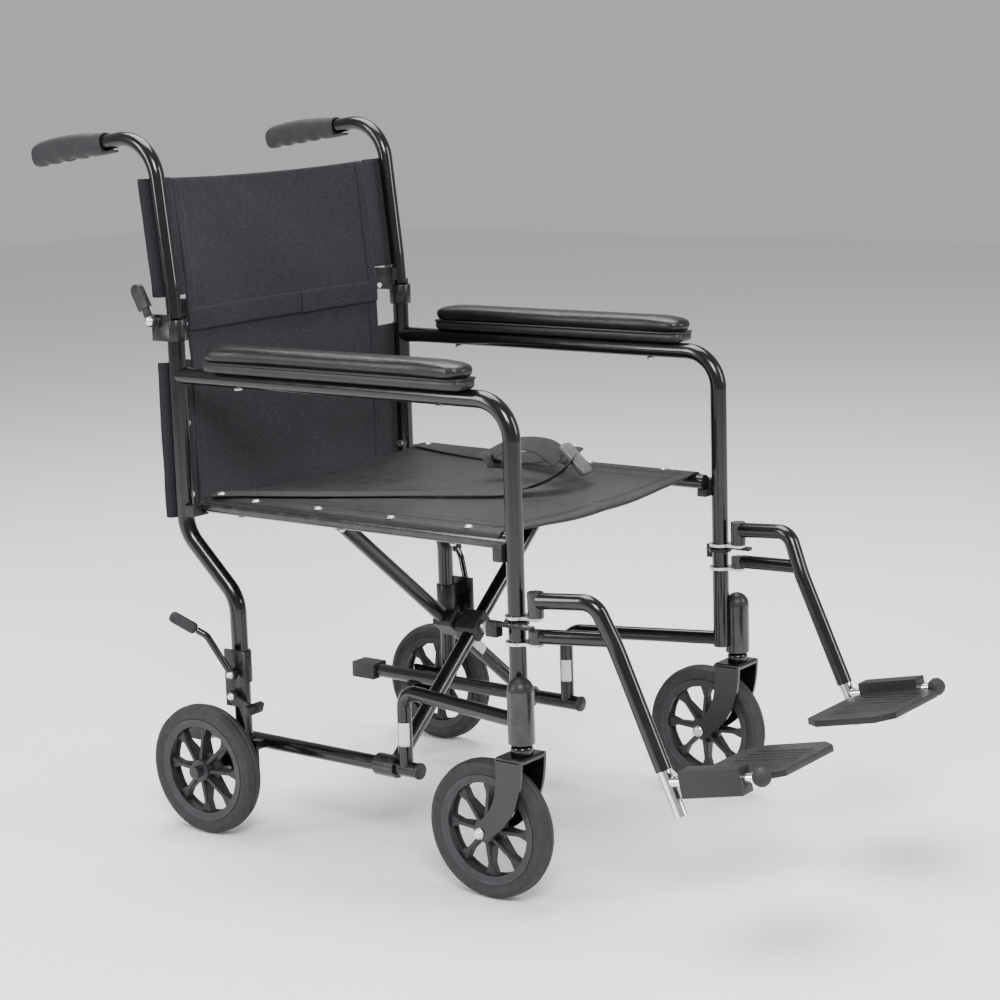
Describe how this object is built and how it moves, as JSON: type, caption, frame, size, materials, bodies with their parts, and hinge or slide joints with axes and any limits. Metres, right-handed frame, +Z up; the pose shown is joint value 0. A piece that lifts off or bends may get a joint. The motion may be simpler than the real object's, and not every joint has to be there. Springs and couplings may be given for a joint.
{
  "type": "folding transport wheelchair",
  "caption": "Folding transport wheelchair with a cross-braced tubular frame, four small spoked wheels, sling seat, fold-down back, padded arms and swing-away footrests.",
  "frame": {"origin": "centre of the bounding box in plan, on the ground", "axes": "+Z up, -Y the way the sitter faces, +X the sitter's left"},
  "size_m": [0.6698, 1.2326, 1.0234],
  "materials": {
    "frame_paint": "gloss black powder coat",
    "back_cloth": "woven dark grey heather",
    "seat_nylon": "coated black nylon",
    "webbing": "black webbing",
    "tyre": "matte dark grey",
    "grip_rubber": "matte dark grey",
    "vinyl": "grained black vinyl",
    "zinc": "bright zinc and chrome",
    "plastic": "dark grey moulded plastic"
  },
  "bodies": {
    "right_frame": {"right_side_frame": "frame_paint", "right_saddles": "plastic", "right_arm_pad": "vinyl", "right_tip_pedal": "plastic", "right_hinge_plate": "frame_paint", "right_hanger_pins": "zinc", "right_brake_plate": "frame_paint", "right_rear_axle": "zinc", "right_frame_bolts": "zinc", "lower_back": "back_cloth"},
    "brace_a": {"brace_a": "frame_paint", "brace_bolt": "zinc", "seat_left": "seat_nylon", "belt_left": "webbing", "belt_buckle": "plastic"},
    "brace_b": {"brace_b": "frame_paint", "seat_right": "seat_nylon", "belt_right": "webbing"},
    "left_frame": {"left_side_frame": "frame_paint", "left_saddles": "plastic", "left_arm_pad": "vinyl", "left_tip_pedal": "plastic", "left_hinge_plate": "frame_paint", "left_hanger_pins": "zinc", "left_brake_plate": "frame_paint", "left_rear_axle": "zinc", "left_frame_bolts": "zinc"},
    "right_cane": {"right_cane": "frame_paint", "right_grip": "grip_rubber", "upper_back": "back_cloth"},
    "left_cane": {"left_cane": "frame_paint", "left_grip": "grip_rubber"},
    "right_release": {"right_release": "plastic"},
    "right_rear_wheel": {"right_rear_wheel": "plastic", "right_rear_tyre": "tyre"},
    "right_fork": {"right_fork": "frame_paint"},
    "right_front_wheel": {"right_front_wheel": "plastic", "right_front_tyre": "tyre"},
    "right_hanger": {"right_hanger": "frame_paint"},
    "right_latch": {"right_latch": "frame_paint"},
    "right_extension": {"right_extension": "zinc"},
    "right_footplate": {"right_footplate": "plastic"},
    "right_brake_lever": {"right_brake_lever": "frame_paint", "right_brake_grip": "grip_rubber"},
    "right_brake_shoe": {"right_brake_shoe": "zinc"},
    "left_release": {"left_release": "plastic"},
    "left_rear_wheel": {"left_rear_wheel": "plastic", "left_rear_tyre": "tyre"},
    "left_fork": {"left_fork": "frame_paint"},
    "left_front_wheel": {"left_front_wheel": "plastic", "left_front_tyre": "tyre"},
    "left_hanger": {"left_hanger": "frame_paint"},
    "left_latch": {"left_latch": "frame_paint"},
    "left_extension": {"left_extension": "zinc"},
    "left_footplate": {"left_footplate": "plastic"},
    "left_brake_lever": {"left_brake_lever": "frame_paint", "left_brake_grip": "grip_rubber"},
    "left_brake_shoe": {"left_brake_shoe": "zinc"}
  },
  "joints": [
    {"name": "fold", "type": "hinge", "parent": "right_frame", "child": "brace_a", "pos_m": [-0.199, 0.0263, 0.124], "axis": [0, -1, 0], "range_deg": [0, 35], "deforming": ["seat_left", "seat_right", "belt_left", "belt_right", "belt_buckle", "lower_back", "upper_back"]},
    {"name": "brace_cross", "type": "hinge", "parent": "brace_a", "child": "brace_b", "pos_m": [0, 0.0513, 0.28628], "axis": [0, -1, 0], "range_deg": [-70, 0]},
    {"name": "left_frame_hinge", "type": "hinge", "parent": "brace_b", "child": "left_frame", "pos_m": [0.199, 0.0763, 0.124], "axis": [0, -1, 0], "range_deg": [0, 35]},
    {"name": "right_back_fold", "type": "hinge", "parent": "right_frame", "child": "right_cane", "pos_m": [-0.256, 0.3743, 0.752], "axis": [-1, 0, 0], "range_deg": [0, 125]},
    {"name": "right_release_turn", "type": "hinge", "parent": "right_frame", "child": "right_release", "pos_m": [-0.282, 0.3743, 0.752], "axis": [-1, 0, 0], "range_deg": [0, 25]},
    {"name": "right_rear_spin", "type": "hinge", "parent": "right_frame", "child": "right_rear_wheel", "pos_m": [-0.278, 0.3163, 0.096], "axis": [1, 0, 0], "continuous": true},
    {"name": "right_swivel", "type": "hinge", "parent": "right_frame", "child": "right_fork", "pos_m": [-0.275, -0.2557, 0.25], "axis": [0, 0, 1], "continuous": true},
    {"name": "right_front_spin", "type": "hinge", "parent": "right_fork", "child": "right_front_wheel", "pos_m": [-0.275, -0.2017, 0.096], "axis": [1, 0, 0], "continuous": true},
    {"name": "right_hanger_swing", "type": "hinge", "parent": "right_frame", "child": "right_hanger", "pos_m": [-0.256, -0.2707, 0.38], "axis": [0, 0, -1], "range_deg": [0, 90]},
    {"name": "right_latch_turn", "type": "hinge", "parent": "right_frame", "child": "right_latch", "pos_m": [-0.256, -0.2397, 0.379], "axis": [0, 0, 1], "range_deg": [0, 14]},
    {"name": "right_footrest_length", "type": "slide", "parent": "right_hanger", "child": "right_extension", "axis": [0, -0.4134, -0.9106], "range_m": [0, 0.06]},
    {"name": "right_footplate_flip", "type": "hinge", "parent": "right_extension", "child": "right_footplate", "pos_m": [-0.241, -0.4757, 0.196], "axis": [0, -0.9781, 0.2079], "range_deg": [0, 90.5]},
    {"name": "right_brake", "type": "hinge", "parent": "right_frame", "child": "right_brake_lever", "pos_m": [-0.28, 0.2543, 0.247], "axis": [1, 0, 0], "range_deg": [0, 56]},
    {"name": "right_shoe_turn", "type": "hinge", "parent": "right_frame", "child": "right_brake_shoe", "pos_m": [-0.28, 0.2563, 0.214], "axis": [1, 0, 0], "range_deg": [0, 57]},
    {"name": "left_back_fold", "type": "hinge", "parent": "left_frame", "child": "left_cane", "pos_m": [0.256, 0.3743, 0.752], "axis": [-1, 0, 0], "range_deg": [0, 125]},
    {"name": "left_release_turn", "type": "hinge", "parent": "left_frame", "child": "left_release", "pos_m": [0.282, 0.3743, 0.752], "axis": [-1, 0, 0], "range_deg": [0, 25]},
    {"name": "left_rear_spin", "type": "hinge", "parent": "left_frame", "child": "left_rear_wheel", "pos_m": [0.278, 0.3163, 0.096], "axis": [1, 0, 0], "continuous": true},
    {"name": "left_swivel", "type": "hinge", "parent": "left_frame", "child": "left_fork", "pos_m": [0.275, -0.2557, 0.25], "axis": [0, 0, 1], "continuous": true},
    {"name": "left_front_spin", "type": "hinge", "parent": "left_fork", "child": "left_front_wheel", "pos_m": [0.275, -0.2017, 0.096], "axis": [1, 0, 0], "continuous": true},
    {"name": "left_hanger_swing", "type": "hinge", "parent": "left_frame", "child": "left_hanger", "pos_m": [0.256, -0.2707, 0.38], "axis": [0, 0, 1], "range_deg": [0, 90]},
    {"name": "left_latch_turn", "type": "hinge", "parent": "left_frame", "child": "left_latch", "pos_m": [0.256, -0.2397, 0.379], "axis": [0, 0, -1], "range_deg": [0, 14]},
    {"name": "left_footrest_length", "type": "slide", "parent": "left_hanger", "child": "left_extension", "axis": [0, -0.4134, -0.9106], "range_m": [0, 0.06]},
    {"name": "left_footplate_flip", "type": "hinge", "parent": "left_extension", "child": "left_footplate", "pos_m": [0.241, -0.4757, 0.196], "axis": [0, 0.9781, -0.2079], "range_deg": [0, 90.5]},
    {"name": "left_brake", "type": "hinge", "parent": "left_frame", "child": "left_brake_lever", "pos_m": [0.28, 0.2543, 0.247], "axis": [1, 0, 0], "range_deg": [0, 56]},
    {"name": "left_shoe_turn", "type": "hinge", "parent": "left_frame", "child": "left_brake_shoe", "pos_m": [0.28, 0.2563, 0.214], "axis": [1, 0, 0], "range_deg": [0, 57]}
  ],
  "couplings": [
    {"joint": "brace_cross", "follows": "fold", "ratio": -2},
    {"joint": "left_frame_hinge", "follows": "fold", "ratio": 1},
    {"joint": "right_footplate_flip", "follows": "fold", "ratio": 2.5714},
    {"joint": "right_shoe_turn", "follows": "right_brake", "ratio": 1},
    {"joint": "left_footplate_flip", "follows": "fold", "ratio": 2.5714},
    {"joint": "left_shoe_turn", "follows": "left_brake", "ratio": 1},
    {"joint": "left_back_fold", "follows": "right_back_fold", "ratio": 1}
  ]
}
